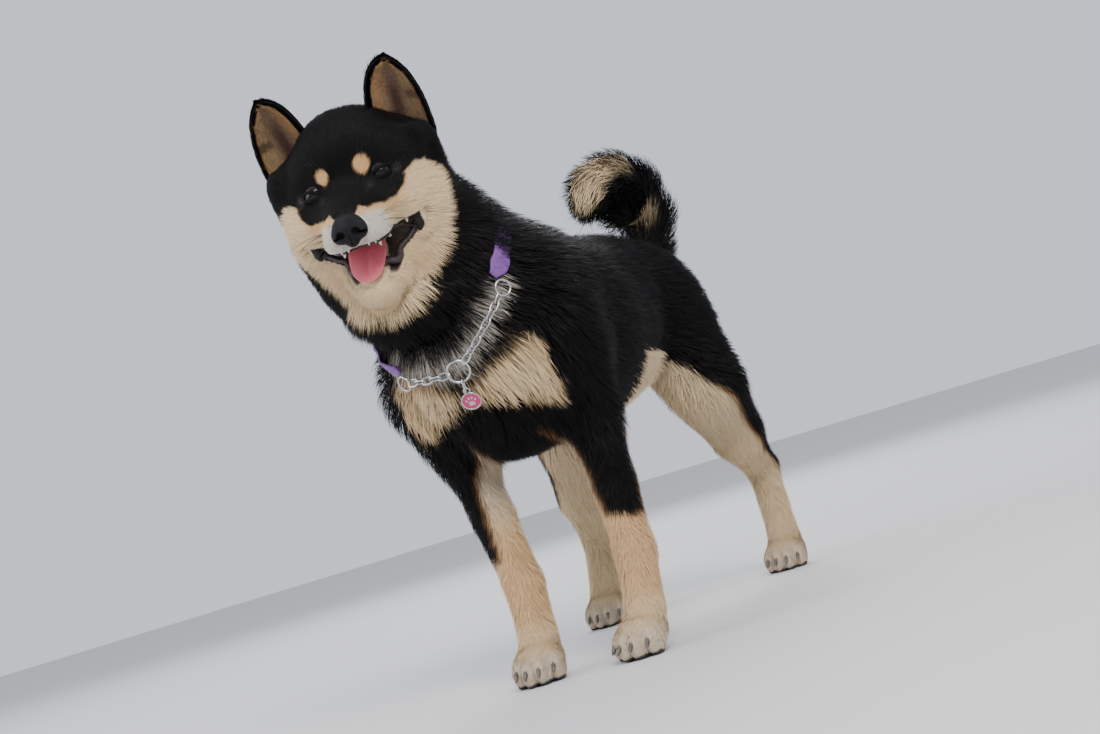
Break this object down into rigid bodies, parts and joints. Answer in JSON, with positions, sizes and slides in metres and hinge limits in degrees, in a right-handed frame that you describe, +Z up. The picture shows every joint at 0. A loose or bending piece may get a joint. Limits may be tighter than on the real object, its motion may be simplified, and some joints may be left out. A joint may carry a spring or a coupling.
{
  "type": "black and tan shiba inu, life-size standing model",
  "caption": "Life-size still model of a black and tan shiba inu standing with its head turned and mouth open, wearing a webbing and chain collar with a round tag.",
  "frame": {"origin": "on the floor, under the middle of the model's box", "axes": "+Z up, -Y the way the dog's body faces, +X towards the dog's left side"},
  "size_m": [0.2363, 0.6249, 0.5327],
  "materials": {
    "coat": "dense double coat of guard hair, black with tan and cream markings",
    "eye": "dark brown, wet gloss",
    "nose_leather": "black pebbled, damp",
    "tongue": "pink, moist, finely bumped",
    "tooth": "ivory enamel",
    "webbing": "purple woven webbing with a fine glint",
    "collar_steel": "polished steel wire",
    "tag_enamel": "raspberry enamel in a silver rim"
  },
  "bodies": {
    "root": {"canine_lower_left": "tooth", "canine_lower_right": "tooth", "canine_upper_left": "tooth", "canine_upper_right": "tooth", "chest": "coat", "collar_chain_left": "collar_steel", "collar_chain_right": "collar_steel", "collar_d_ring_left": "collar_steel", "collar_d_ring_right": "collar_steel", "collar_o_ring": "collar_steel", "collar_webbing": "webbing", "ear_left": "coat", "ear_right": "coat", "eye_left": "eye", "eye_right": "eye", "front_left_forearm": "coat", "front_left_paw": "coat", "front_left_upper_arm": "coat", "front_right_forearm": "coat", "front_right_paw": "coat", "front_right_upper_arm": "coat", "head": "coat", "hind_left_paw": "coat", "hind_left_shank": "coat", "hind_left_thigh": "coat", "hind_right_paw": "coat", "hind_right_shank": "coat", "hind_right_thigh": "coat", "loin": "coat", "lower_jaw": "coat", "neck": "coat", "nose": "nose_leather", "tag": "tag_enamel", "tag_link": "collar_steel", "tail_base": "coat", "tail_curl": "coat", "tongue": "tongue"}
  },
  "joints": []
}
